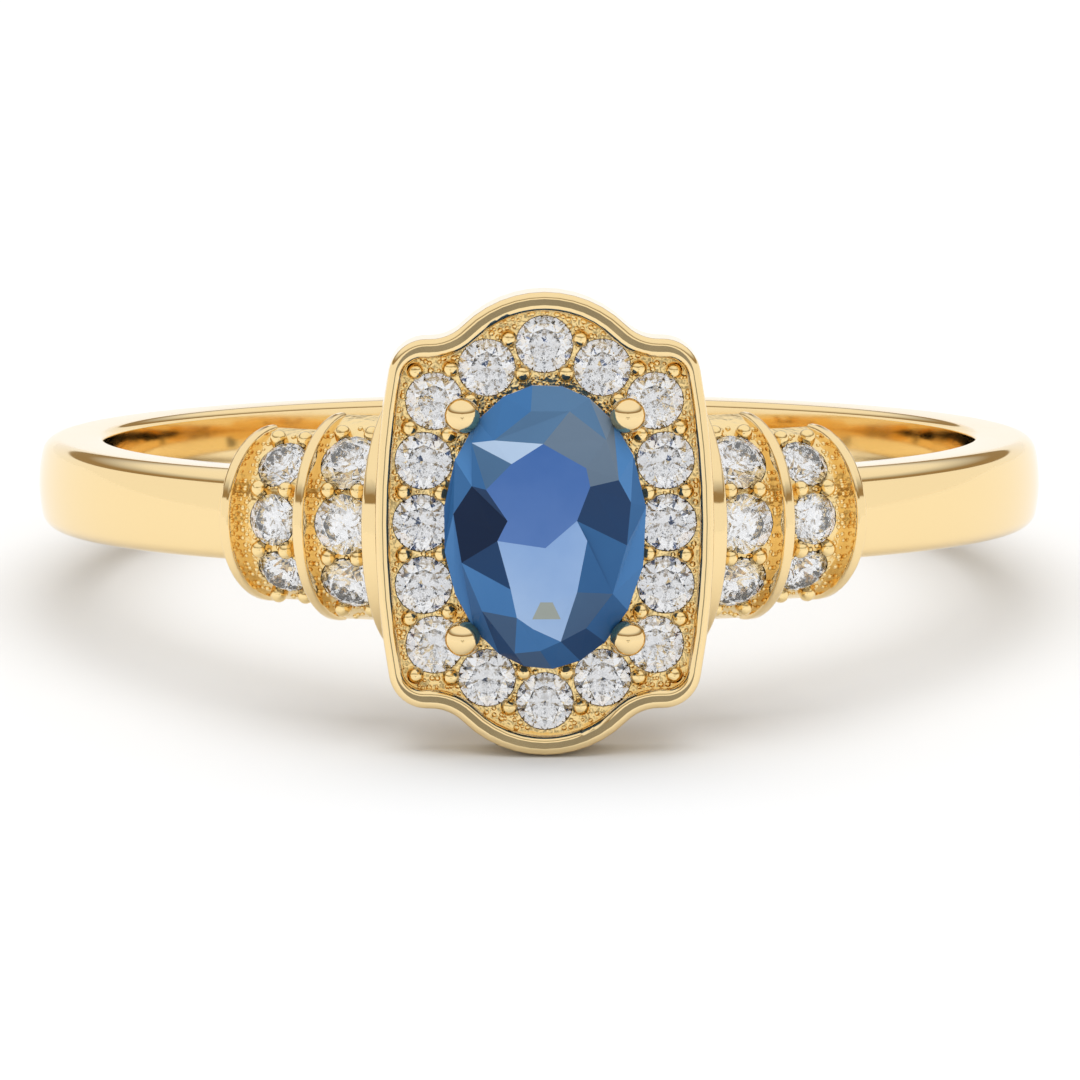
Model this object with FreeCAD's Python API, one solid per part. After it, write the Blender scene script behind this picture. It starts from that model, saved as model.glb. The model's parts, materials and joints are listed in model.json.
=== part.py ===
"""Lady's ring: an oval sapphire in four claws, a scalloped halo of small diamonds and stepped pave shoulders.

It is built as a goldsmith assembles it. A shank runs all the way round the finger, and is thinner under the
head and the shoulders. On it sit the collet with its claws, and on each side a cheek, two pave saddles and
two ribs, like nested arches that step down from the head. The halo plate and its border rest on the collet
and the cheeks. Every stone is a solid of its own, cut with flat facets, in a seat with a small clearance.

Frame: the axis of the finger hole is Z and its centre is the origin, so the ring lies on its side. The head
faces -Y, and its length runs along Z. All lengths are in millimetres and all angles in degrees.
"""

import FreeCAD
import Part
import math
import os

Vector = FreeCAD.Vector
ORIGIN = Vector(0, 0, 0)
FINGER_AXIS = Vector(0, 0, 1)
ACROSS = Vector(1, 0, 0)

# ---------------------------------------------------------------- finger hole and shank
bore_radius = 8.675          # US size 7
shank_width = 1.80
shank_thickness = 1.30
shank_crown_radius = 2.8     # of the slightly domed outer face
shank_edge_radius = 0.36
bore_edge_radius = 0.15
liner_thickness = 0.58       # of the shank where it runs under the shoulders and the head
saddle_relief = 0.24         # how far the saddles' feet stay back from the finger

# ---------------------------------------------------------------- stones
sapphire_width = 4.0
sapphire_length = 5.6
halo_stone = 1.12            # diameters
inner_stone = 1.20
outer_stone = 1.02
seat_clearance = 0.01
girdle_depth = 0.03          # how far a small stone's girdle lies under the metal's surface
azure_radius = 0.30          # of the hole behind each halo stone

# Proportions of the brilliant cut, for a girdle radius of 1
table_share = 0.58
crown_share = 0.30
girdle_share = 0.06
pavilion_share = 0.86
star_share = 0.76            # radius of the star facets' outer points
lower_half_share = 0.24      # radius of the inner points of the lower girdle facets
symmetry = 8                 # main facets on each side of the girdle

# ---------------------------------------------------------------- head
plate_rise = 3.025           # from the finger up to the halo plate's face
head_offset = 0.20           # of the head's middle from the shank's, along the finger
plate_thickness = 0.80
halo_side_overlap = 0.15     # how far a side stone's edge tucks in under the sapphire's edge
halo_end_gap = 0.14          # between an end stone's edge and the sapphire's edge
stone_gap = 0.07             # the least gap between neighbouring halo stones
halo_corner_drop = 1.18      # from an end stone back to where the halo's side columns turn in
halo_end_bulge = 0.12        # how far the run from a corner to an end bows outwards
border_side_margin = 0.06    # between the stones and the border
border_end_margin = 0.10
border_side_wall = 0.28
border_end_wall = 0.38
border_height = 0.34         # above the plate's face
border_edge_radius = 0.13
scallop_drop = 0.92          # from the end of the scallop to the head's shoulder
shoulder_flat = 0.07         # straight stretch between a corner and the hollow beside the scallop
scallop_root_radius = 0.90
corner_radius = 0.75
side_bow_radius = 17.0
sapphire_height = 0.85       # of the sapphire's girdle above the plate's face
opening_clearance = 0.06     # between the sapphire and the plate's opening

# ---------------------------------------------------------------- claws and collet
claw_angle = 46.0            # on the sapphire's oval, from its width
claw_reach = 0.28            # from the sapphire's edge out to the middle of a claw's ball
claw_ball_radius = 0.35
claw_wire_radius = 0.24
claw_ball_height = 0.97      # above the plate's face
claw_lean = 0.59             # how far a claw closes in for each millimetre towards the finger
claw_clearance = 0.02        # in the plate's notches
collet_wall = 0.36
collet_notch = 0.16          # how deep a claw is let into the collet's wall

# ---------------------------------------------------------------- beads
bead_radius = 0.17
bead_height = 0.08           # of a bead's round top's centre above the metal
bead_bite = 0.02             # how far a bead reaches over a stone's edge
bead_root = 0.12             # how deep a bead is rooted in the metal
bead_trim = 0.015            # between a bead and the stone it holds
border_clearance = 0.02      # between a corner bead and the border
shoulder_bead_offset = 0.31  # from the middle of a saddle to its beads

# ---------------------------------------------------------------- cheeks, ribs and saddles
cheek_rise = 2.925           # from the finger up to the arch's crest
cheek_half_height = 2.60
cheek_reach = 0.29           # how far a cheek shows beside the head
cheek_thickness = 0.42
inner_rib_rise = 2.275
inner_rib_half_height = 2.05
outer_rib_rise = 1.925
outer_rib_half_height = 1.74
rib_thickness = 0.25
rib_edge_radius = 0.07       # along the crest of a rib and of a cheek
floor_drop = 0.36            # from a rib's crest down to the pave beside it
inner_saddle_margin = 0.095  # between the stones and the walls on each side
outer_saddle_margin = 0.28
inner_row_gap = 0.06         # between the stones of a saddle
outer_row_gap = 0.12

# ---------------------------------------------------------------- worked out from those
half_width = sapphire_width / 2
half_length = sapphire_length / 2
halo_radius = halo_stone / 2
liner_radius = bore_radius + liner_thickness
foot_radius = bore_radius + saddle_relief
plate_face = bore_radius + plate_rise        # all crests and faces are distances from the finger's axis
cheek_crest = bore_radius + cheek_rise
inner_rib_crest = bore_radius + inner_rib_rise
outer_rib_crest = bore_radius + outer_rib_rise
halo_side = half_width - halo_side_overlap + halo_radius
halo_end = half_length + halo_end_gap + halo_radius
halo_corner_height = halo_end - halo_corner_drop
head_half_width = halo_side + halo_radius + border_side_margin + border_side_wall
head_half_length = halo_end + halo_radius + border_end_margin + border_end_wall


# ================================================================ drawing helpers
def in_section(r, z):
    """A point of a cross-section through the finger's axis: r out towards the head, and z along the axis."""
    return Vector(0, -r, z)


def in_plan(u, v):
    """A point of the head's plan: u across the head and v along it."""
    return Vector(u, v, 0)


def line(start, end, lift):
    return Part.makeLine(lift(*start), lift(*end))


def arc(centre, radius, start, end, lift):
    """An arc about centre, from start to end degrees."""
    points = []
    for share in (0, 0.5, 1):
        angle = math.radians(start + (end - start) * share)
        points.append(lift(centre[0] + radius * math.cos(angle), centre[1] + radius * math.sin(angle)))
    return Part.Arc(*points).toShape()


def bowed(start, end, bow, lift):
    """An arc from start to end that stands bow to the left of the straight way."""
    du, dv = end[0] - start[0], end[1] - start[1]
    length = math.hypot(du, dv)
    middle = ((start[0] + end[0]) / 2 - bow * dv / length, (start[1] + end[1]) / 2 + bow * du / length)
    return Part.Arc(lift(*start), lift(*middle), lift(*end)).toShape()


def sector(edges, start, end):
    """A cross-section turned about the finger's axis, from start to end degrees away from the head."""
    face = Part.Face(Part.Wire(edges))
    face.rotate(ORIGIN, FINGER_AXIS, start)
    return face.revolve(ORIGIN, FINGER_AXIS, end - start)


def turned(points):
    """A solid turned about Z from an outline of (radius, height) points that starts and ends on Z."""
    corners = [Vector(r, 0, h) for r, h in points]
    face = Part.Face(Part.makePolygon(corners + corners[:1]))
    return face.revolve(ORIGIN, Vector(0, 0, 1), 360)


def on_ring(shape, r, z=0.0, tilt=0.0, turn=0.0):
    """A shape drawn about +Z, set r from the finger's axis with its Z outwards, tilted up and turned."""
    placed = shape.copy()
    placed.rotate(ORIGIN, ACROSS, 90 - tilt)
    placed.translate(in_section(r, z))
    placed.rotate(ORIGIN, FINGER_AXIS, turn)
    return placed


def on_head(shape):
    """A shape drawn in the head's plan, with Z outwards from the plate's face, put where the head is."""
    return on_ring(shape, plate_face, head_offset)


def at(shape, u, v, height):
    """A copy moved in the head's plan."""
    return shape.translated(Vector(u, v, height))


def tidy(shape):
    """One clean solid from a boolean's result."""
    shape = shape.removeSplitter()
    if len(shape.Solids) != 1:
        raise ValueError("a piece came out as %d solids" % len(shape.Solids))
    return shape.Solids[0]


# ================================================================ stones
def brilliant_points(half_x, half_y, half_z):
    """The corners of a brilliant about Z: table, stars, girdle above and below, lower halves, culet."""
    step = 360.0 / symmetry
    slope = crown_share / (1 - table_share)
    top = girdle_share / 2
    half_turn = math.cos(math.radians(step / 2))

    def corner(radius, angle, height):
        angle = math.radians(angle)
        return Vector(radius * math.cos(angle) * half_x, radius * math.sin(angle) * half_y, height * half_z)

    table, stars, lower, upper_girdle, lower_girdle = [], [], [], [], []
    for k in range(symmetry):
        main, between = k * step, (k + 0.5) * step
        table.append(corner(table_share, main, top + crown_share))
        stars.append(corner(star_share, between, top + slope * (1 - star_share * half_turn)))
        fall = pavilion_share * (1 - lower_half_share * half_turn)
        lower.append(corner(lower_half_share, between, -top - fall))
        for angle in (main, between):
            upper_girdle.append(corner(1, angle, top))
            lower_girdle.append(corner(1, angle, -top))
    culet = corner(0, 0, -top - pavilion_share)
    return table, stars, upper_girdle, lower_girdle, lower, culet


def brilliant(half_x, half_y, half_z):
    """A round or oval brilliant of flat facets, as one solid."""
    table, stars, upper, under, lower, culet = brilliant_points(half_x, half_y, half_z)
    n = symmetry
    facets = [table]
    for k in range(n):
        before, after = (k - 1) % n, (k + 1) % n
        main, between, following = 2 * k, 2 * k + 1, (2 * k + 2) % (2 * n)
        facets.append([table[k], stars[k], table[after]])
        facets.append([table[k], stars[before], upper[main], stars[k]])
        facets.append([stars[k], upper[main], upper[between]])
        facets.append([stars[k], upper[between], upper[following]])
        facets.append([upper[main], upper[between], under[between], under[main]])
        facets.append([upper[between], upper[following], under[following], under[between]])
        facets.append([lower[k], under[main], under[between]])
        facets.append([lower[k], under[between], under[following]])
        facets.append([culet, lower[before], under[main], lower[k]])
    faces = [Part.Face(Part.makePolygon(corners + corners[:1])) for corners in facets]
    solid = Part.makeSolid(Part.makeShell(faces))
    if solid.Volume < 0:
        solid.reverse()
    return solid


def ellipse_wire(half_x, half_y, height=0.0):
    """An upright ellipse, longer along Y."""
    centre = Vector(0, 0, height)
    curve = Part.Ellipse(centre + Vector(0, half_y, 0), centre + Vector(half_x, 0, 0), centre)
    return Part.Wire(curve.toShape())


def oval_prism(half_x, half_y, bottom, top):
    return Part.Face(ellipse_wire(half_x, half_y, bottom)).extrude(Vector(0, 0, top - bottom))


def make_sapphire():
    """The centre stone about +Z. Its facets run out past the girdle, which an oval then cuts round."""
    outside = 1 / math.cos(math.radians(90.0 / symmetry))
    rough = brilliant(half_width * outside, half_length * outside, half_width)
    return tidy(rough.common(oval_prism(half_width, half_length, -half_width, half_width)))


def small_stone(diameter):
    return brilliant(diameter / 2, diameter / 2, diameter / 2)


def seat_tool(diameter, azure_depth=0.0):
    """What a setter cuts for a small stone: a cone, a wall up to the surface, and an azure behind it."""
    r = diameter / 2
    wall = r + seat_clearance
    tip = -r * (girdle_share / 2 + pavilion_share) - seat_clearance
    tool = turned([(0, tip), (wall, -r * girdle_share / 2 - seat_clearance), (wall, r), (0, r)])
    if azure_depth:
        azure = Part.makeCylinder(azure_radius, azure_depth, Vector(0, 0, -azure_depth))
        tool = tool.fuse(azure)
    return tool


def stone_envelope(diameter):
    """The round shape that just clears a stone, which the beads are trimmed to."""
    r = diameter / 2
    c = bead_trim
    girdle = r * girdle_share / 2
    return turned([
        (0, -girdle - r * pavilion_share - c),
        (r + c, -girdle - c),
        (r + c, girdle + c),
        (r * table_share + c, girdle + r * crown_share + c),
        (0, girdle + r * crown_share + c),
    ])


def bead():
    """A grain of metal: a short post with a round top, rooted under the surface at height 0."""
    post = Part.makeCylinder(bead_radius, bead_height + bead_root, Vector(0, 0, -bead_root))
    return post.fuse(Part.makeSphere(bead_radius, Vector(0, 0, bead_height)))


# ================================================================ shank
def shank_edges():
    """The plain shank's section: a flat bore, flat sides and a low dome with soft edges."""
    half, crest = shank_width / 2, bore_radius + shank_thickness
    crown = (crest - shank_crown_radius, 0)
    edge_z = half - shank_edge_radius
    edge_r = crown[0] + math.sqrt((shank_crown_radius - shank_edge_radius) ** 2 - edge_z ** 2)
    lean = math.degrees(math.atan2(edge_z, edge_r - crown[0]))
    inner_r, inner_z = bore_radius + bore_edge_radius, half - bore_edge_radius
    return [
        arc(crown, shank_crown_radius, -lean, lean, in_section),
        arc((edge_r, edge_z), shank_edge_radius, lean, 90, in_section),
        line((edge_r, half), (inner_r, half), in_section),
        arc((inner_r, inner_z), bore_edge_radius, 90, 180, in_section),
        line((bore_radius, inner_z), (bore_radius, -inner_z), in_section),
        arc((inner_r, -inner_z), bore_edge_radius, 180, 270, in_section),
        line((inner_r, -half), (edge_r, -half), in_section),
        arc((edge_r, -edge_z), shank_edge_radius, 270, 360 - lean, in_section),
    ]


def liner_edges():
    """The thin stretch's section: the same bore, and square outer edges that the saddles fit over."""
    half = shank_width / 2
    inner_r, inner_z = bore_radius + bore_edge_radius, half - bore_edge_radius
    return [
        line((liner_radius, -half), (liner_radius, half), in_section),
        line((liner_radius, half), (inner_r, half), in_section),
        arc((inner_r, inner_z), bore_edge_radius, 90, 180, in_section),
        line((bore_radius, inner_z), (bore_radius, -inner_z), in_section),
        arc((inner_r, -inner_z), bore_edge_radius, 180, 270, in_section),
        line((inner_r, -half), (liner_radius, -half), in_section),
    ]


def make_shank(end):
    """The whole ring round the finger, thin from -end to end degrees."""
    plain = sector(shank_edges(), end, 360 - end)
    liner = sector(liner_edges(), -end, end)
    return tidy(plain.fuse(liner))


# ================================================================ cheeks, ribs and saddles
def arch_edges(crest, half_height, sink=0.0):
    """An arch's section astride the liner: a round back, sunk towards the finger by sink, and two feet."""
    centre = crest - half_height - sink
    rise = max(foot_radius - centre, 0.0)
    spread = math.degrees(math.acos(rise / half_height))
    foot = half_height * math.sin(math.radians(spread))
    shoulder = centre + rise
    half = shank_width / 2
    edges = [
        arc((centre, 0), half_height, -spread, spread, in_section),
        line((foot_radius, foot), (foot_radius, half), in_section),
        line((foot_radius, half), (liner_radius, half), in_section),
        line((liner_radius, half), (liner_radius, -half), in_section),
        line((liner_radius, -half), (foot_radius, -half), in_section),
        line((foot_radius, -half), (foot_radius, -foot), in_section),
    ]
    if shoulder > foot_radius + 1e-6:
        edges.insert(1, line((shoulder, foot), (foot_radius, foot), in_section))
        edges.append(line((foot_radius, -foot), (shoulder, -foot), in_section))
    return edges


def make_rib(crest, half_height, start, end):
    """A thin arch with soft edges along its crest."""
    arch = sector(arch_edges(crest, half_height), start, end)
    beyond = crest - half_height + 1e-3
    crest_edges = [e for e in arch.Edges if math.hypot(e.CenterOfMass.x, e.CenterOfMass.y) > beyond]
    crest_edges = [e for e in crest_edges if e.Length > math.pi / 2 * half_height]
    return tidy(arch.makeFillet(rib_edge_radius, crest_edges))


def make_cheek(start, end):
    """The arch under each side of the head, cut away where the head sits on it and against it."""
    head = on_head(Part.Face(head_outline(0, 0)).extrude(Vector(0, 0, plate_face)))
    head.translate(in_section(-plate_thickness, 0))
    return tidy(make_rib(cheek_crest, cheek_half_height, start, end).cut(head))


class Row:
    """The stones and beads across one saddle."""

    def __init__(self, crest, half_height, stone, gap, middle):
        self.radius = half_height
        self.centre = crest - floor_drop - half_height
        self.stone = stone
        self.pitch = 2 * math.degrees(math.asin((stone + gap) / 2 / half_height))
        self.middle = middle

    def set(self, shape, tilt, height=0.0, sideways=0.0):
        """A copy of shape on the saddle's round back, at tilt degrees up from its middle."""
        lean = math.radians(tilt)
        r = self.centre + self.radius * math.cos(lean)
        z = self.radius * math.sin(lean)
        return on_ring(shape.translated(Vector(sideways, 0, height)), r, z, tilt, self.middle)

    def tilts(self):
        return [-self.pitch, 0.0, self.pitch]

    def bead_tilts(self):
        return [self.pitch * k / 2 for k in (-3, -1, 1, 3)]


def make_saddle(row, crest, half_height, start, end):
    """A pave saddle: an arch with three seats, and beads in pairs above, between and below the stones."""
    body = sector(arch_edges(crest, half_height, floor_drop), start, end)
    seats = [row.set(seat_tool(row.stone), tilt, -girdle_depth) for tilt in row.tilts()]
    envelopes = [row.set(stone_envelope(row.stone), tilt, -girdle_depth) for tilt in row.tilts()]
    beads = []
    for tilt in row.bead_tilts():
        for side in (-1, 1):
            grain = row.set(bead(), tilt, 0, side * shoulder_bead_offset)
            beads.append(grain.cut(envelopes))
    return tidy(body.cut(seats).fuse(beads))


# ================================================================ head
def corner_circle(side_inset, end_inset):
    """The radius of a corner of the head's outline, and where its middle is in plan."""
    radius = corner_radius - (side_inset + end_inset) / 2
    v = head_half_length - scallop_drop - end_inset - radius
    reach = side_bow_radius - side_inset - radius
    u = head_half_width - side_bow_radius + math.sqrt(reach ** 2 - v ** 2)
    return radius, u, v


def head_outline(side_inset, end_inset):
    """The head's outline in plan, moved in from its sides and its ends: bowed sides, round corners, and a
    scallop at each end that runs into the head's shoulder through a hollow."""
    corner, corner_u, corner_v = corner_circle(side_inset, end_inset)
    root_u = corner_circle(0, 0)[1] - shoulder_flat
    scallop_and_root = (root_u ** 2 + scallop_drop ** 2) / (2 * scallop_drop)
    scallop = scallop_and_root - scallop_root_radius - end_inset
    root = scallop_root_radius + end_inset
    shoulder = corner_v + corner
    bow = side_bow_radius - side_inset
    bow_centre = (head_half_width - side_bow_radius, 0)
    scallop_centre = (0, head_half_length - end_inset - scallop)
    root_v = shoulder + root
    side_angle = math.degrees(math.atan2(corner_v, corner_u - bow_centre[0]))
    end_angle = math.degrees(math.atan2(root_v - scallop_centre[1], root_u))
    quarter = [
        arc((corner_u, corner_v), corner, side_angle, 90, in_plan),
        line((corner_u, shoulder), (root_u, shoulder), in_plan),
        arc((root_u, root_v), root, 270, 180 + end_angle, in_plan),
    ]
    right = [arc(bow_centre, bow, -side_angle, side_angle, in_plan)] + quarter
    top = [arc(scallop_centre, scallop, end_angle, 180 - end_angle, in_plan)]
    across = [edge.mirror(ORIGIN, ACROSS) for edge in reversed(quarter)]
    half = right + top + across
    rest = [edge.rotated(ORIGIN, Vector(0, 0, 1), 180) for edge in half]
    return Part.Wire(Part.__sortEdges__(half + rest))


def halo_centres():
    """Where the halo's stones sit in plan: evenly round bowed sides and two bowed runs at each end."""
    bow = side_bow_radius - (head_half_width - halo_side)
    centre = halo_side - bow
    corner = (centre + math.sqrt(bow ** 2 - halo_corner_height ** 2), halo_corner_height)
    run = bowed((0, halo_end), corner, halo_end_bulge, in_plan)
    side = Part.Arc(in_plan(*corner), in_plan(halo_side, 0), in_plan(corner[0], -corner[1])).toShape()
    back = run.mirror(ORIGIN, Vector(0, 1, 0))
    right = [run, side, back]
    left = [edge.rotated(ORIGIN, Vector(0, 0, 1), 180) for edge in right]
    path = Part.Wire(Part.__sortEdges__(right + left))
    count = 2 * int(path.Length / (2 * (halo_stone + stone_gap)))
    return path.discretize(Number=count + 1)[:-1]


def claw_corners():
    """Each claw's name and the plan position of its ball."""
    angle = math.radians(claw_angle)
    on_edge = Vector(half_width * math.cos(angle), half_length * math.sin(angle), 0)
    out = Vector(math.cos(angle) / half_width, math.sin(angle) / half_length, 0).normalize()
    ball = on_edge + out * claw_reach
    return {
        "claw_upper_right": Vector(ball.x, ball.y, 0),
        "claw_upper_left": Vector(-ball.x, ball.y, 0),
        "claw_lower_left": Vector(-ball.x, -ball.y, 0),
        "claw_lower_right": Vector(ball.x, -ball.y, 0),
    }


def claw_at(ball, height):
    """Where a claw's middle line is at a height over the plate's face. All four lean in to the axis."""
    inward = claw_lean * (claw_ball_height - height) / ball.Length
    return ball * (1 - inward) + Vector(0, 0, height)


def claw_wire(ball, radius, bottom):
    """A claw's straight wire, from the height bottom up to the ball's middle."""
    foot, head = claw_at(ball, bottom), claw_at(ball, claw_ball_height)
    return Part.makeCylinder(radius, (head - foot).Length, foot, head - foot)


def liner_cylinder():
    """The space inside the shoulders' and the collet's seat on the liner."""
    return Part.makeCylinder(liner_radius, 2 * plate_face, Vector(0, 0, -plate_face), FINGER_AXIS)


def make_claw(ball, sapphire, envelopes):
    """A wire with a ball on its end, notched for the sapphire's girdle and clear of the diamonds."""
    bottom = liner_radius - plate_face - claw_wire_radius
    wire = claw_wire(ball, claw_wire_radius, bottom)
    whole = wire.fuse(Part.makeSphere(claw_ball_radius, claw_at(ball, claw_ball_height)))
    return tidy(on_head(whole.cut(envelopes)).cut([sapphire, liner_cylinder()]))


def make_collet(balls, claws):
    """The tapered oval tube under the sapphire, which the four claws are let into."""
    ball = balls[0]
    ratio = half_length / half_width
    across = math.hypot(ball.x, ball.y / ratio)

    def oval(height, inset):
        share = claw_at(ball, height)
        share = math.hypot(share.x, share.y) / ball.Length
        return ellipse_wire(across * share - inset, across * share * ratio - inset, height)

    top, bottom = -plate_thickness, foot_radius - plate_face
    outside = claw_wire_radius - collet_notch
    inside = outside + collet_wall
    outer = Part.makeLoft([oval(bottom, outside), oval(top, outside)], True, True)
    inner = Part.makeLoft([oval(bottom, inside), oval(top, inside)], True, True)
    return tidy(on_head(outer.cut(inner)).cut([liner_cylinder()] + claws))


def halo_beads(centres, balls):
    """Plan positions of the halo's beads: a pair in each gap, but no inner one where a claw stands."""
    reach = halo_radius + bead_radius - bead_bite
    places = []
    for k, here in enumerate(centres):
        there = centres[(k + 1) % len(centres)]
        middle, along = (here + there) / 2, there - here
        aside = Vector(-along.y, along.x, 0).normalize()
        if aside.dot(middle) < 0:
            aside = -aside
        offset = math.sqrt(reach ** 2 - (along.Length / 2) ** 2)
        places.append(middle + aside * offset)
        inner = middle - aside * offset
        room = claw_wire_radius + claw_clearance + bead_radius
        if min((claw_at(b, 0) - inner).Length for b in balls) > room:
            places.append(inner)
    return places


def corner_beads():
    """A grain in each corner of the plate, close to the border."""
    corner, u, v = corner_circle(border_side_wall, border_end_wall)
    out = (corner - bead_radius - border_clearance) * math.sqrt(0.5)
    return [Vector(a * (u + out), b * (v + out), 0) for a in (-1, 1) for b in (-1, 1)]


def opening_oval(height):
    """The sapphire's oval at a height below its girdle, with room round it."""
    share = 1 - (sapphire_height - half_width * girdle_share / 2 - height) / (half_width * pavilion_share)
    room = opening_clearance
    return ellipse_wire(half_width * share + room, half_length * share + room, height)


def make_plate(centres, balls, sapphire_envelope, envelopes):
    """The halo plate with its seats, azures, opening, claw notches and beads."""
    outline = Part.Face(head_outline(border_side_wall, border_end_wall))
    body = outline.translated(Vector(0, 0, -plate_thickness)).extrude(Vector(0, 0, plate_thickness))
    opening = Part.makeLoft([opening_oval(-plate_thickness), opening_oval(halo_radius / 2)], True, True)
    seat = seat_tool(halo_stone, plate_thickness)
    seats = [at(seat, p.x, p.y, -girdle_depth) for p in centres]
    notches = [claw_wire(b, claw_wire_radius + claw_clearance, -2 * plate_thickness) for b in balls]
    grain = bead()
    beads = []
    for place in halo_beads(centres, balls) + corner_beads():
        near = [e for e, p in zip(envelopes, centres) if (p - place).Length < halo_radius + 2 * bead_radius]
        beads.append(at(grain, place.x, place.y, 0).cut(near + [sapphire_envelope, opening]))
    return tidy(on_head(body.cut(seats + [opening] + notches).fuse(beads)))


def make_border():
    """The raised wall round the plate, with its two front edges rounded."""
    drop = Vector(0, 0, -plate_thickness)
    outside = Part.Face(head_outline(0, 0)).translated(drop)
    inside = Part.Face(head_outline(border_side_wall, border_end_wall)).translated(drop)
    up = Vector(0, 0, plate_thickness + border_height)
    wall = tidy(outside.extrude(up).cut(inside.extrude(up)))
    front = [e for e in wall.Edges if e.BoundBox.ZMin > border_height - 1e-6]
    return on_head(tidy(wall.makeFillet(border_edge_radius, front)))


# ================================================================ the whole ring
def shoulder_angles():
    """Where each arch starts and ends, in degrees from the head's middle, from the cheek outwards."""
    spans = {}
    start = math.degrees(math.asin((head_half_width + cheek_reach) / cheek_crest))
    spans["cheek"] = (start - math.degrees(cheek_thickness / cheek_crest), start)
    steps = [
        ("inner_saddle", inner_stone + 2 * inner_saddle_margin, inner_rib_crest - floor_drop),
        ("inner_rib", rib_thickness, inner_rib_crest),
        ("outer_saddle", outer_stone + 2 * outer_saddle_margin, outer_rib_crest - floor_drop),
        ("outer_rib", rib_thickness, outer_rib_crest),
    ]
    for name, width, crest in steps:
        end = start + math.degrees(width / crest)
        spans[name] = (start, end)
        start = end
    return spans


def make_shoulder(side, sign, spans):
    """The cheek, the saddles, the ribs and their stones on one side. sign is 1 on +X and -1 on -X."""

    def span(name):
        return sorted(sign * angle for angle in spans[name])

    nodes = {"cheek_" + side: make_cheek(*span("cheek"))}
    saddles = [
        ("inner", inner_rib_crest, inner_rib_half_height, inner_stone, inner_row_gap),
        ("outer", outer_rib_crest, outer_rib_half_height, outer_stone, outer_row_gap),
    ]
    for step, crest, half_height, stone, gap in saddles:
        start, end = span(step + "_saddle")
        row = Row(crest, half_height, stone, gap, (start + end) / 2)
        nodes["%s_saddle_%s" % (step, side)] = make_saddle(row, crest, half_height, start, end)
        nodes["%s_rib_%s" % (step, side)] = make_rib(crest, half_height, *span(step + "_rib"))
        gem = small_stone(stone)
        for level, tilt in zip(("lower", "middle", "upper"), row.tilts()):
            nodes["%s_diamond_%s_%s" % (step, side, level)] = row.set(gem, tilt, -girdle_depth)
    return nodes


def make_head():
    """The sapphire, its claws and collet, the halo plate with its border, and the halo's stones."""
    corners = claw_corners()
    balls = list(corners.values())
    sapphire = make_sapphire().translated(Vector(0, 0, sapphire_height))
    centres = halo_centres()
    envelopes = [at(stone_envelope(halo_stone), p.x, p.y, -girdle_depth) for p in centres]
    nodes = {"sapphire": on_head(sapphire)}
    claws = {name: make_claw(ball, nodes["sapphire"], envelopes) for name, ball in corners.items()}
    nodes.update(claws)
    nodes["collet"] = make_collet(balls, list(claws.values()))
    nodes["halo_plate"] = make_plate(centres, balls, sapphire, envelopes)
    nodes["halo_border"] = make_border()
    gem = small_stone(halo_stone)
    for k, place in enumerate(centres):
        nodes["halo_diamond_%02d" % (k + 1)] = on_head(at(gem, place.x, place.y, -girdle_depth))
    return nodes


def make_ring():
    """Every piece of the ring, as node name and solid."""
    spans = shoulder_angles()
    nodes = {"shank": make_shank(spans["outer_rib"][1])}
    nodes.update(make_shoulder("left", -1, spans))
    nodes.update(make_shoulder("right", 1, spans))
    nodes.update(make_head())
    return nodes


def main():
    os.makedirs("parts", exist_ok=True)
    for old in os.listdir("parts"):
        os.remove(os.path.join("parts", old))
    for name, solid in make_ring().items():
        if not solid.isValid() or solid.Volume <= 0:
            raise ValueError(name + " is not a valid solid")
        solid.exportStep("parts/%s.step" % name)
        print("%-30s %9.4f mm3" % (name, solid.Volume))


main()
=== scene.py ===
"""The looks of the sapphire ring: polished gold, pave floors, faceted stones and soft studio light."""

import json
import math
import random

import bmesh
import bpy
from mathutils import Matrix, Quaternion, Vector
from mathutils.bvhtree import BVHTree


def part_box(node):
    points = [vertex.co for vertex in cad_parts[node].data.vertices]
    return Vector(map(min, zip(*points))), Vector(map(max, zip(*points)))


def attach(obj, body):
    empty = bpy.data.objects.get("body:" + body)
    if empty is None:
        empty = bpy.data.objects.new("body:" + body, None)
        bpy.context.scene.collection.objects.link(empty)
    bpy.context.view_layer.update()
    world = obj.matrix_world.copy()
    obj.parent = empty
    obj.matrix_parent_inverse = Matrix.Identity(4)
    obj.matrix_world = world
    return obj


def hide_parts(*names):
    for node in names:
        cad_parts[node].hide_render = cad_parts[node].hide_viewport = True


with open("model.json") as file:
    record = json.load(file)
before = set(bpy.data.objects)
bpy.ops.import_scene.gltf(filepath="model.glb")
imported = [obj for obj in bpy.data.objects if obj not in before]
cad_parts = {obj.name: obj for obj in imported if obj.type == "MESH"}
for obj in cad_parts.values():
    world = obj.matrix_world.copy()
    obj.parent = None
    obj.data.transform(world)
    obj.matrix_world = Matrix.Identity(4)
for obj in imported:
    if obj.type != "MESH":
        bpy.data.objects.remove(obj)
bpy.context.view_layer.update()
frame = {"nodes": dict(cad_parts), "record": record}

MM = 0.001

# ---------------------------------------------------------------- camera and floor, in mm and degrees
CAMERA_AZIMUTH = -0.52
CAMERA_ELEVATION = 5.18
CAMERA_DISTANCE = 540.0
CAMERA_ROLL = -0.07
FRAME_WIDTH = 21.56          # of the view at the ring's middle
AIM_RIGHT, AIM_UP = 0.015, -1.195
SENSOR = 36.0
FLOOR_SIZE = 3000.0
FLOOR_GREY = 0.66
FLOOR_DROP = 0.01            # the floor lies this far under the two points that touch it
HEAD_CONTACT = 0.3           # how far behind the head's face its lower edge touches the floor
SHANK_CONTACT = 0.2          # how far in front of the shank's back its lower edge does

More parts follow.
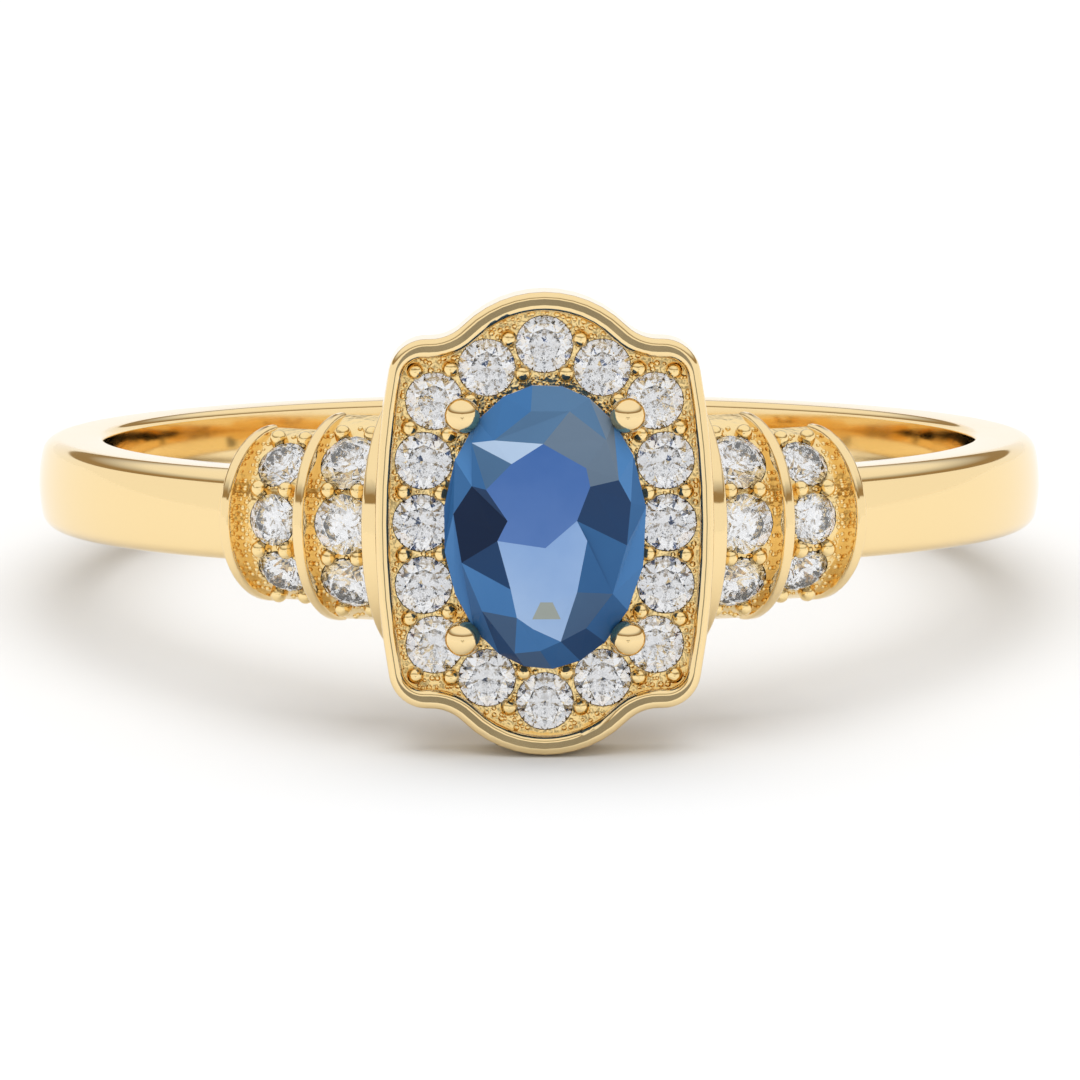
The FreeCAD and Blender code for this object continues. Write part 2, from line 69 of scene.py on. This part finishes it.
# ---------------------------------------------------------------- the studio
LAMP_POWER, LAMP_SPREAD = 1.9, 70
# Heights in the world are sines of the angle over the horizon.
WALL_TOP, WALL_FADE = 0.285, 0.015
GAP_TOP = 0.40
GAP_TONE = (0.34, 0.25, 0.14)         # the dark, warm gap between the wall and the softbox
SOFTBOX = [(0.5, 0.6), (0.6, 0.95), (0.72, 1.0)]      # height and brightness
LENS_DARK = 0.3
LENS_HALF_WIDTH, LENS_HALF_HEIGHT = 0.09, 0.13
LENS_BELOW = 0.09            # under the horizon


# ---------------------------------------------------------------- node helpers
class Nodes:
    """A short way to write a node tree."""

    def __init__(self, tree):
        self.tree = tree
        tree.nodes.clear()

    def add(self, kind, inputs=(), **settings):
        node = self.tree.nodes.new(kind)
        for name, value in settings.items():
            setattr(node, name, value)
        for name, value in dict(inputs).items():
            socket = node.inputs[name]
            if isinstance(value, bpy.types.NodeSocket):
                self.tree.links.new(value, socket)
            else:
                socket.default_value = value
        return node

    def math(self, operation, a, b=0.0, c=0.0):
        node = self.add("ShaderNodeMath", {0: a, 1: b, 2: c}, operation=operation)
        return node.outputs[0]

    def ramp(self, value, stops):
        """A colour ramp. Its stops are (place, grey or colour)."""
        node = self.add("ShaderNodeValToRGB", {"Fac": value})
        ramp = node.color_ramp
        while len(ramp.elements) < len(stops):
            ramp.elements.new(0.5)
        for element, (place, colour) in zip(ramp.elements, stops):
            element.position = place
            element.color = (*colour, 1) if isinstance(colour, tuple) else (colour, colour, colour, 1)
        return node.outputs["Color"]


def material(name):
    made = bpy.data.materials.new(name)
    made.use_nodes = True
    return made, Nodes(made.node_tree)


def give(node, made):
    """The CAD node gets this material in every slot."""
    for slot in frame["nodes"][node].material_slots:
        slot.material = made


# ---------------------------------------------------------------- materials
GOLD = (0.93, 0.715, 0.38, 1)
PAVE_GOLD = (0.95, 0.73, 0.36)
RECESS_SHADE_GOLD = (0.80, 0.56, 0.22)        # painted shade, for where light bounces between the grains


def polished_gold():
    """Champagne gold with a hand polish: faint swirls change the gloss and the surface."""
    made, n = material("polished_gold")
    place = n.add("ShaderNodeTexCoord").outputs["Object"]
    swirl = n.add("ShaderNodeTexNoise", {"Vector": place, "Scale": 900.0, "Detail": 4.0}).outputs["Fac"]
    rough = n.ramp(swirl, [(0.35, 0.05), (0.7, 0.11)])
    wave = n.add("ShaderNodeTexNoise", {"Vector": place, "Scale": 420.0, "Detail": 1.0}).outputs["Fac"]
    bump = n.add("ShaderNodeBump", {"Height": wave, "Strength": 0.25, "Distance": 0.00002})
    bsdf = n.add("ShaderNodeBsdfPrincipled", {"Base Color": GOLD, "Metallic": 1.0, "Roughness": rough,
                                              "Normal": bump.outputs[0]})
    n.add("ShaderNodeOutputMaterial", {"Surface": bsdf.outputs[0]})
    return made


def pave_gold():
    """Cut gold between the small stones: bright on top, with painted shade in deep orange down between
    grains and stones.
    """
    made, n = material("pave_gold")
    place = n.add("ShaderNodeTexCoord").outputs["Object"]
    cuts = n.add("ShaderNodeTexNoise", {"Vector": place, "Scale": 5200.0, "Detail": 2.0}).outputs["Fac"]
    bump = n.add("ShaderNodeBump", {"Height": cuts, "Strength": 0.45, "Distance": 0.00005})
    # Painted shade: ambient occlusion turns the colour deep orange in the recesses between grains and
    # stones.
    painted_shade_mask = n.add("ShaderNodeAmbientOcclusion", {"Distance": 0.00045}, samples=8).outputs["AO"]
    colour = n.ramp(painted_shade_mask, [(0.3, RECESS_SHADE_GOLD), (0.85, PAVE_GOLD)])
    bsdf = n.add("ShaderNodeBsdfPrincipled", {"Base Color": colour, "Metallic": 1.0, "Roughness": 0.13,
                                              "Normal": bump.outputs[0]})
    n.add("ShaderNodeOutputMaterial", {"Surface": bsdf.outputs[0]})
    return made


def grain_gold():
    """Bright grains whose sides get painted shade, the deep colour of the gaps between them."""
    made, n = material("grain_gold")
    place = n.add("ShaderNodeTexCoord").outputs["Object"]
    fine = n.add("ShaderNodeTexNoise", {"Vector": place, "Scale": 4000.0, "Detail": 2.0}).outputs["Fac"]
    rough = n.ramp(fine, [(0.35, 0.07), (0.7, 0.14)])
    # Painted shade: ambient occlusion darkens the grains' sides and the gaps between them to deep orange.
    painted_shade_mask = n.add("ShaderNodeAmbientOcclusion", {"Distance": 0.00025}, samples=8).outputs["AO"]
    colour = n.ramp(painted_shade_mask, [(0.35, RECESS_SHADE_GOLD), (0.8, PAVE_GOLD)])
    bsdf = n.add("ShaderNodeBsdfPrincipled", {"Base Color": colour, "Metallic": 1.0, "Roughness": rough})
    n.add("ShaderNodeOutputMaterial", {"Surface": bsdf.outputs[0]})
    return made


def diamond():
    """Clear stones with a little haze, which greys them as small melee is."""
    made, n = material("diamond")
    place = n.add("ShaderNodeTexCoord").outputs["Object"]
    haze = n.add("ShaderNodeTexNoise", {"Vector": place, "Scale": 6500.0, "Detail": 3.0}).outputs["Fac"]
    bump = n.add("ShaderNodeBump", {"Height": haze, "Strength": 0.22, "Distance": 0.00002})
    rough = n.ramp(haze, [(0.4, 0.0), (0.75, 0.05)])
    bsdf = n.add("ShaderNodeBsdfPrincipled", {
        "Base Color": (0.97, 0.98, 1, 1), "Roughness": rough, "IOR": 2.417, "Transmission Weight": 1.0,
        "Normal": bump.outputs[0]})
    n.add("ShaderNodeOutputMaterial", {"Surface": bsdf.outputs[0]})
    return made


def blue_facet(name, top, bottom):
    """One tone of painted light on the sapphire: a facet's light and reflections painted as a blue that runs
    to another blue down the stone, under faint silk.
    """
    made, n = material(name)
    place = n.add("ShaderNodeTexCoord").outputs["Object"]
    height = n.add("ShaderNodeSeparateXYZ", {"Vector": place}).outputs["Z"]
    low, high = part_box("sapphire")
    span = {"Value": height, "From Min": low.z, "From Max": high.z}
    share = n.add("ShaderNodeMapRange", span).outputs["Result"]
    silk = n.add("ShaderNodeTexNoise", {"Vector": place, "Scale": 700.0, "Detail": 3.0}).outputs["Fac"]
    # Painted light: the blue gets lighter or darker down the stone, with the real silk mixed in.
    mixed = n.math("MULTIPLY_ADD", silk, 0.5, n.math("MULTIPLY_ADD", share, 0.9, -0.2))
    colour = n.ramp(mixed, [(0.15, bottom), (0.85, top)])
    bsdf = n.add("ShaderNodeBsdfPrincipled", {"Base Color": colour, "Roughness": 0.03, "IOR": 1.77,
                                              "Specular IOR Level": 0.08})
    n.add("ShaderNodeOutputMaterial", {"Surface": bsdf.outputs[0]})
    return made


def dress_frame():
    gold, pave, clear = polished_gold(), pave_gold(), diamond()
    for node in frame["nodes"]:
        if "diamond" in node:
            give(node, clear)
        elif "saddle" in node or node == "halo_plate":
            give(node, pave)
        elif node != "sapphire":
            give(node, gold)


# ---------------------------------------------------------------- helpers for new pieces
SHARP_ANGLE = 35.0


def smooth(mesh):
    """Smooth shading, with the sharp edges kept."""
    for face in mesh.faces:
        face.smooth = True
    for edge in mesh.edges:
        if len(edge.link_faces) == 2 and edge.calc_face_angle(0.0) > math.radians(SHARP_ANGLE):
            edge.smooth = False


def add_piece(name, mesh, materials, slot, *replaced):
    """A finished piece on the ring's one body."""
    data = bpy.data.meshes.new(name)
    mesh.to_mesh(data)
    mesh.free()
    for made in materials:
        data.materials.append(made)
    piece = bpy.data.objects.new(name, data)
    bpy.context.scene.collection.objects.link(piece)
    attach(piece, "root")
    if replaced:
        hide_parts(*replaced)


def node_tree(node):
    """A search tree of a CAD node's surface."""
    shape = bmesh.new()
    shape.from_mesh(frame["nodes"][node].data)
    tree = BVHTree.FromBMesh(shape)
    shape.free()
    return tree


# ---------------------------------------------------------------- the sapphire
# Painted light of the facets: the light and reflections each facet shows, painted as the colour at the
# stone's upper end and at its lower end.
PAINTED_FACET_TONES = {
    "cornflower": ((0.045, 0.12, 0.34), (0.115, 0.205, 0.45)),
    "lavender": ((0.125, 0.25, 0.53), (0.30, 0.43, 0.65)),
    "sky": ((0.37, 0.48, 0.63), (0.29, 0.40, 0.58)),
    "steel": ((0.065, 0.14, 0.25), (0.045, 0.09, 0.175)),
    "grey_blue": ((0.115, 0.165, 0.23), (0.075, 0.12, 0.18)),
    "teal": ((0.036, 0.125, 0.29), (0.022, 0.09, 0.23)),
    "light_teal": ((0.07, 0.20, 0.43), (0.045, 0.15, 0.35)),
    "deep": ((0.016, 0.04, 0.10), (0.009, 0.042, 0.12)),
    "navy": ((0.004, 0.016, 0.05), (0.0025, 0.01, 0.034)),
    "straw": ((0.30, 0.32, 0.285), (0.28, 0.31, 0.285)),
}

# Corners of the crown's facets, as shares of the stone's half width and half length, and how much of the
# crown's height each stands up. The cut is old and uneven, so no two are alike.
CORNERS = {
    "a": (-0.02, 0.60, 1.0), "b": (0.40, 0.43, 1.0), "c": (0.44, 0.30, 1.0), "d": (0.31, 0.06, 1.0),
    "e": (0.41, -0.08, 1.0), "f": (0.31, -0.44, 1.0), "g": (0.15, -0.79, 0.8), "h": (-0.12, -0.70, 0.9),
    "i": (-0.28, -0.62, 0.95), "j": (-0.34, -0.42, 1.0), "k": (-0.47, -0.08, 1.0), "l": (-0.37, 0.06, 1.0),
    "m": (-0.58, 0.28, 1.0), "n": (-0.33, 0.46, 1.0), "o": (-0.72, 0.60, 0.55), "p": (-0.50, 0.62, 0.7),
    "q": (-0.14, 0.82, 0.55), "r": (0.24, 0.82, 0.55), "s": (0.60, 0.62, 0.6), "t": (0.72, 0.34, 0.7),
    "u": (0.84, 0.18, 0.5), "v": (0.80, -0.12, 0.55), "w": (0.66, -0.46, 0.55), "x": (0.40, -0.70, 0.6),
    "y": (-0.05, -0.86, 0.55), "z": (-0.62, -0.58, 0.6), "A": (-0.82, -0.24, 0.55), "B": (-0.90, 0.10, 0.45),
    "C": (-0.72, 0.30, 0.7), "D": (-0.30, -0.88, 0.4), "E": (-0.5, -0.02, 0.95),
    "F": (0.0, -0.13, 1.02), "H": (0.08, 0.20, 1.02), "I": (-0.05, -0.51, 0.99),
    "J": (0.07, -0.51, 0.99), "K": (0.15, -0.63, 0.92), "L": (-0.13, -0.63, 0.94),
}
# Degrees round the girdle where the crown's facets meet it.
RIM = [8, 30, 48, 64, 80, 97, 114, 132, 152, 172,
       190, 208, 226, 243, 258, 274, 290, 306, 324, 344]

# The crown's facets. A number is a place in RIM.
FACETS = [
    ("cornflower", "a b c H"), ("cornflower", "a H l n"), ("cornflower", "H c d F"),
    ("cornflower", "l H F k"), ("lavender", "F d e"), ("lavender", "k F j"),
    ("lavender", "F e f"), ("lavender", "F f J I"),
    ("lavender", "j F I i"), ("straw", "I J K L"), ("lavender", "J f g K"), ("lavender", "i I L h"),
    ("lavender", "L K g h"), ("cornflower", "n l m"), ("sky", "p a n"), ("sky", "o p n"),
    ("steel", "o n m"), ("teal", "o m C"), ("grey_blue", "a r s b"), ("steel", "p q r a"),
    ("teal", "o 7 6 q p"), ("steel", "q 5 4 r"), ("teal", "6 5 q"), ("steel", "r 4 3 s"),
    ("grey_blue", "s 3 2 t"), ("grey_blue", "b s t c"), ("deep", "c t u"), ("deep", "c u v d"),
    ("light_teal", "t 2 1 u"), ("teal", "u 1 0 v"), ("teal", "d v w e"), ("light_teal", "v 0 19 18 w"),
    ("teal", "e w f"), ("steel", "f w x"), ("teal", "w 18 17 x"), ("steel", "f x g"),
    ("deep", "x 17 16 g"), ("teal", "g 16 15 y"), ("light_teal", "h g y"), ("steel", "y 15 14 D"),
    ("light_teal", "i h y D"), ("deep", "D 14 13 z"), ("steel", "i D z"), ("light_teal", "j i z"),
    ("teal", "z 13 12 A"), ("light_teal", "j z A"), ("deep", "k j A"), ("navy", "l k A E"),
    ("navy", "E A B"), ("navy", "C l E B"), ("deep", "m l C"), ("light_teal", "A 12 11 10 B"),
    ("teal", "B 10 9 8 C"), ("light_teal", "C 8 7 o"),
]
# Heights as shares of the stone's half width.
CROWN_SHARE, GIRDLE_SHARE, PAVILION_SHARE = 0.30, 0.06, 0.86
# The pavilion's belt of corners, as shares of the stone's half sizes and of the pavilion's depth.
BELT_SPREAD, BELT_DEPTH = 0.5, 0.56
INSET = 0.00001              # the piece stays this far inside its CAD solid


def sapphire_frame():
    """The stone's middle in the plane of its girdle, its half width and its half length."""
    low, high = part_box("sapphire")
    half_x, half_z = (high.x - low.x) / 2 - INSET, (high.z - low.z) / 2 - INSET
    girdle_y = low.y + half_x * (CROWN_SHARE + GIRDLE_SHARE / 2)
    return Vector(((low.x + high.x) / 2, girdle_y, (low.z + high.z) / 2)), half_x, half_z


def make_sapphire():
    """An old cut: uneven crown facets over a faceted pavilion, with light and reflections painted on them in
    several blues.
    """
    middle, half_x, half_z = sapphire_frame()
    crown, girdle, pavilion = CROWN_SHARE * half_x, GIRDLE_SHARE * half_x / 2, PAVILION_SHARE * half_x
    mesh = bmesh.new()

    def point(u, v, depth):
        return mesh.verts.new(middle + Vector((u * half_x, depth, v * half_z)))

    def around(places, spread, depth):
        turns = [math.radians(degrees) for degrees in places]
        return [point(spread * math.cos(turn), spread * math.sin(turn), depth) for turn in turns]

    upper, lower = around(RIM, 1, -girdle), around(RIM, 1, girdle)
    corners = {name: point(u, v, -girdle - crown * lift) for name, (u, v, lift) in CORNERS.items()}
    tones = list(PAINTED_FACET_TONES)
    for tone, names in FACETS:
        ring = [upper[int(name)] if name.isdigit() else corners[name] for name in names.split()]
        face = mesh.faces.new(ring)
        face.material_index = tones.index(tone)
    count = len(RIM)
    belt = around(RIM[::2], BELT_SPREAD, girdle + pavilion * BELT_DEPTH)
    culet = point(0, 0, girdle + pavilion)
    for k in range(count):
        mesh.faces.new([upper[k], upper[(k + 1) % count], lower[(k + 1) % count], lower[k]])
    half = len(belt)
    for k in range(half):
        after = (k + 1) % half
        mesh.faces.new([lower[2 * k], lower[2 * k + 1], belt[k]])
        mesh.faces.new([lower[2 * k + 1], lower[(2 * k + 2) % count], belt[after]])
        mesh.faces.new([lower[2 * k + 1], belt[after], belt[k]])
        mesh.faces.new([belt[k], belt[after], culet])
    bmesh.ops.recalc_face_normals(mesh, faces=mesh.faces)
    blues = [blue_facet("sapphire_" + tone, top, bottom) for tone, (top, bottom) in PAINTED_FACET_TONES.items()]
    add_piece("sapphire_stone", mesh, blues, "sapphire", "sapphire")


# ---------------------------------------------------------------- the shank
SHANK_THICKNESS = 1.30
LINER_THICKNESS = 0.58       # under the shoulders and the head
CROWN_RADIUS = 2.8
EDGE_RADIUS = 0.36
BORE_EDGE_RADIUS = 0.15
RING_STEP = 1.25             # degrees between the sections
OUTER_STEPS, BORE_STEPS = 14, 6       # along each arc of the section


def arc_points(centre, radius, start, end, steps):
    turns = [math.radians(start + (end - start) * k / steps) for k in range(steps + 1)]
    return [(centre[0] + radius * math.cos(t), centre[1] + radius * math.sin(t)) for t in turns]


def shank_sections(bore, half):
    """The plain and the thin section, as (radius, height) in millimetres, point for point."""
    crest = bore + SHANK_THICKNESS
    crown, edge_z = (crest - CROWN_RADIUS, 0), half - EDGE_RADIUS
    edge_r = crown[0] + math.sqrt((CROWN_RADIUS - EDGE_RADIUS) ** 2 - edge_z ** 2)
    lean = math.degrees(math.atan2(edge_z, edge_r - crown[0]))
    outer = arc_points((edge_r, -edge_z), EDGE_RADIUS, -90, -lean, OUTER_STEPS)[:-1]
    outer += arc_points(crown, CROWN_RADIUS, -lean, lean, OUTER_STEPS)
    outer += arc_points((edge_r, edge_z), EDGE_RADIUS, lean, 90, OUTER_STEPS)[1:]
    soft = (bore + BORE_EDGE_RADIUS, half - BORE_EDGE_RADIUS)
    inner = arc_points(soft, BORE_EDGE_RADIUS, 90, 180, BORE_STEPS)
    inner += [(r, -z) for r, z in reversed(inner)]
    thin = [(bore + LINER_THICKNESS, half * (2 * k / (len(outer) - 1) - 1)) for k in range(len(outer))]
    return outer + inner, thin + inner


def make_shank():
    """The hoop round the finger with fine, even sections, so that reflections run along it unbroken."""
    bore = frame["record"]["mounts"][0]["dims"]["r_mm"]
    plain, thin = shank_sections(bore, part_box("shank")[1].z / MM)
    rib = frame["nodes"]["outer_rib_right"].data.vertices
    end = max(math.degrees(math.atan2(v.co.x, -v.co.y)) for v in rib)
    steps = round((360 - 2 * end) / RING_STEP)
    stations = [(plain, end + (360 - 2 * end) * k / steps) for k in range(steps + 1)]
    steps = round(2 * end / RING_STEP)
    stations += [(thin, -end + 2 * end * k / steps) for k in range(steps + 1)]
    mesh = bmesh.new()
    rings = []
    for section, angle in stations:
        out = Vector((math.sin(math.radians(angle)), -math.cos(math.radians(angle)), 0))
        rings.append([mesh.verts.new((out * r + Vector((0, 0, z))) * MM) for r, z in section])
    for here, there in zip(rings, rings[1:] + rings[:1]):
        for k in range(len(here)):
            after = (k + 1) % len(here)
            mesh.faces.new([here[k], here[after], there[after], there[k]])
    bmesh.ops.remove_doubles(mesh, verts=mesh.verts, dist=1e-8)
    bmesh.ops.recalc_face_normals(mesh, faces=mesh.faces)
    smooth(mesh)
    add_piece("shank_hoop", mesh, [polished_gold()], "gold", "shank")


# ---------------------------------------------------------------- grains of the pave floors
GRAIN_SEED = 7
GRAIN_PITCH = 0.135
GRAIN_JITTER = 0.35          # share of the pitch
GRAIN_SIZES = (0.040, 0.072)          # radii
GRAIN_SINK = 0.35            # share of a grain's radius that its middle lies under the floor
HALO_CLEARANCE, SADDLE_CLEARANCE = 0.6, 0.3           # from a stone, as shares of a grain's radius
FLAT_NORMAL = 0.999
HALO_TOLERANCE, SADDLE_TOLERANCE = 0.012, 0.036       # how level a floor is
SADDLE_MARGIN = 0.04         # share of the saddle's turn, from its edge to where its level is read


def stones_near(prefix):
    """The middle and the radius of every stone whose node's name starts so."""
    found = []
    for node in frame["nodes"]:
        if node.startswith(prefix):
            low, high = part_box(node)
            found.append(((low + high) / 2, (high.z - low.z) / 2))
    return found


def jitter(draw):
    return draw.uniform(-GRAIN_JITTER, GRAIN_JITTER)


def add_grain(mesh, place, radius):
    bmesh.ops.create_icosphere(mesh, subdivisions=2, radius=radius, matrix=Matrix.Translation(place))


def halo_grains(mesh, draw):
    """Grains on the flat floor of the halo plate, clear of its stones and beads."""
    tree = node_tree("halo_plate")
    low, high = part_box("halo_plate")
    pitch, into = GRAIN_PITCH * MM, Vector((0, 1, 0))
    stones = stones_near("halo_diamond")
    columns, rows = int((high.x - low.x) / pitch), int((high.z - low.z) / pitch)
    hits = []
    for column in range(columns + 1):
        for row in range(rows + 1):
            x = low.x + (column + jitter(draw)) * pitch
            z = low.z + (row + jitter(draw)) * pitch
            spot, normal, _, _ = tree.ray_cast(Vector((x, low.y - MM, z)), into)
            size = draw.uniform(*GRAIN_SIZES) * MM
            if spot and abs(normal.y) > FLAT_NORMAL:
                hits.append((spot, size))
    level = sorted(spot.y for spot, _ in hits)[len(hits) // 2]
    for spot, size in hits:
        flat = abs(spot.y - level) < HALO_TOLERANCE * MM
        room = min(math.hypot(spot.x - c.x, spot.z - c.z) - r for c, r in stones)
        if flat and room > size * HALO_CLEARANCE:
            add_grain(mesh, spot + Vector((0, size * GRAIN_SINK, 0)), size)


def saddle_grains(mesh, draw, step, side):
    """Grains on one saddle's arched floor. The floor's height is read near one edge at each level."""
    node = "%s_saddle_%s" % (step, side)
    tree = node_tree(node)
    low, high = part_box(node)
    stones = stones_near("%s_diamond_%s" % (step, side))
    angles = [math.atan2(v.co.x, -v.co.y) for v in frame["nodes"][node].data.vertices]
    first, last = min(angles), max(angles)
    reach, pitch = -low.y + max(abs(low.x), abs(high.x)), GRAIN_PITCH * MM
    rows = int((high.z - low.z) / pitch)
    columns = int((last - first) * (-low.y) / pitch)

    def cast(angle, z):
        out = Vector((math.sin(angle), -math.cos(angle), 0))
        spot, _, _, _ = tree.ray_cast(out * reach + Vector((0, 0, z)), -out)
        return spot, out

    margin = (last - first) * SADDLE_MARGIN
    for row in range(1, rows):
        for column in range(columns + 1):
            z = low.z + (row + jitter(draw)) * pitch
            angle = first + (column + 0.5 + jitter(draw)) * (last - first) / (columns + 1)
            size = draw.uniform(*GRAIN_SIZES) * MM
            spot, out = cast(angle, z)
            edge, _ = cast(first + margin, z)
            if not spot or not edge:
                continue
            level = abs(spot.xy.length - edge.xy.length) < SADDLE_TOLERANCE * MM
            room = min((spot - c).length - r for c, r in stones)
            if level and room > size * SADDLE_CLEARANCE:
                add_grain(mesh, spot - out * size * GRAIN_SINK, size)


def make_grains():
    """The small cut grains that cover the metal between the stones."""
    made = grain_gold()
    draw = random.Random(GRAIN_SEED)
    mesh = bmesh.new()
    halo_grains(mesh, draw)
    smooth(mesh)
    add_piece("halo_grains", mesh, [made], "gold")
    for side in ("left", "right"):
        for step in ("inner", "outer"):
            mesh = bmesh.new()
            saddle_grains(mesh, draw, step, side)
            smooth(mesh)
            add_piece("%s_grains_%s" % (step, side), mesh, [made], "gold")


# ---------------------------------------------------------------- floor, light and camera
def floor_plane():
    """Two points of the ring touch the floor: the head's lower edge and the back of the shank."""
    head_low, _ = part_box("halo_border")
    shank_low, shank_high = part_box("shank")
    front = Vector((0, head_low.y + HEAD_CONTACT * MM, head_low.z))
    back = Vector((0, shank_high.y - SHANK_CONTACT * MM, shank_low.z))
    along = (back - front).normalized()
    normal = Vector((1, 0, 0)).cross(along)
    return front, normal


def make_floor():
    point, normal = floor_plane()
    half = FLOOR_SIZE * MM / 2
    mesh = bpy.data.meshes.new("floor")
    corners = [(-half, -half, 0), (half, -half, 0), (half, half, 0), (-half, half, 0)]
    mesh.from_pydata(corners, [], [(0, 1, 2, 3)])
    floor = bpy.data.objects.new("floor", mesh)
    bpy.context.scene.collection.objects.link(floor)
    floor.rotation_mode = "QUATERNION"
    floor.rotation_quaternion = normal.to_track_quat("Z", "Y")
    floor.location = point - normal * FLOOR_DROP * MM
    made, n = material("floor_white")
    bsdf = n.add("ShaderNodeBsdfPrincipled", {
        "Base Color": (FLOOR_GREY, FLOOR_GREY, FLOOR_GREY, 1), "Roughness": 0.9, "Specular IOR Level": 0.0})
    n.add("ShaderNodeOutputMaterial", {"Surface": bsdf.outputs[0]})
    mesh.materials.append(made)
    return normal


def make_world():
    """A white wall all round up to about 17 degrees, a dark gap above it, then a wide softbox overhead."""
    world = bpy.data.worlds.new("studio")
    world.use_nodes = True
    bpy.context.scene.world = world
    n = Nodes(world.node_tree)
    way = n.add("ShaderNodeTexCoord").outputs["Generated"]
    x, y, z = n.add("ShaderNodeSeparateXYZ", {"Vector": way}).outputs
    wall = [(0.0, 1.0), (WALL_TOP, 1.0)]
    gap = [(WALL_TOP + WALL_FADE, GAP_TONE), (GAP_TOP, GAP_TONE)]
    ring = n.ramp(z, wall + gap + SOFTBOX)
    # the lens: a small dark spot low in front, which only the surfaces that face it show
    across = n.math("DIVIDE", x, LENS_HALF_WIDTH)
    up = n.math("DIVIDE", n.math("ADD", z, LENS_BELOW), LENS_HALF_HEIGHT)
    r = n.math("SQRT", n.math("ADD", n.math("MULTIPLY", across, across), n.math("MULTIPLY", up, up)))
    spot = n.ramp(r, [(0.5, LENS_DARK), (1.0, 1.0)])
    facing = n.ramp(n.math("MULTIPLY", y, -1.0), [(0.0, 0.0), (0.2, 1.0)])
    lens = n.add("ShaderNodeMix", {"Factor": facing, "A": (1, 1, 1, 1), "B": spot}, data_type="RGBA")
    both = n.add("ShaderNodeMix", {"Factor": 1.0, "A": ring, "B": lens.outputs["Result"]},
                 data_type="RGBA", blend_type="MULTIPLY")
    plain = n.add("ShaderNodeBackground", {"Color": (1, 1, 1, 1), "Strength": 1.0})
    shown = n.add("ShaderNodeBackground", {"Color": both.outputs["Result"], "Strength": 1.0})
    path = n.add("ShaderNodeLightPath")
    even = n.math("MAXIMUM", path.outputs["Is Camera Ray"], path.outputs["Is Diffuse Ray"])
    mix = n.add("ShaderNodeMixShader", {"Fac": even, 1: shown.outputs[0], 2: plain.outputs[0]})
    n.add("ShaderNodeOutputWorld", {"Surface": mix.outputs[0]})


def make_lamp(normal):
    """One wide soft lamp over the floor, seen by nothing shiny."""
    data = bpy.data.lights.new("overhead", "SUN")
    data.energy = LAMP_POWER
    data.angle = math.radians(LAMP_SPREAD)
    lamp = bpy.data.objects.new("overhead", data)
    bpy.context.scene.collection.objects.link(lamp)
    lamp.rotation_mode = "QUATERNION"
    lamp.rotation_quaternion = normal.to_track_quat("Z", "Y")
    lamp.visible_glossy = False
    lamp.visible_transmission = False


def make_camera():
    data = bpy.data.cameras.new("photo_view")
    data.sensor_width = SENSOR
    data.lens = SENSOR * CAMERA_DISTANCE / FRAME_WIDTH
    data.clip_start, data.clip_end = 0.01, 20
    camera = bpy.data.objects.new("photo_view", data)
    bpy.context.scene.collection.objects.link(camera)
    a, e = math.radians(CAMERA_AZIMUTH), math.radians(CAMERA_ELEVATION)
    back = Vector((math.sin(a) * math.cos(e), -math.cos(a) * math.cos(e), math.sin(e)))
    turn = (-back).to_track_quat("-Z", "Y")
    camera.rotation_mode = "QUATERNION"
    camera.rotation_quaternion = turn @ Quaternion((0, 0, 1), math.radians(CAMERA_ROLL))
    aim = turn @ Vector((AIM_RIGHT, AIM_UP, 0)) * MM
    camera.location = aim + back * CAMERA_DISTANCE * MM
    bpy.context.scene.camera = camera


dress_frame()
make_sapphire()
make_shank()
make_grains()
floor_normal = make_floor()
make_world()
make_lamp(floor_normal)
make_camera()
bpy.context.scene.view_settings.view_transform = "Standard"
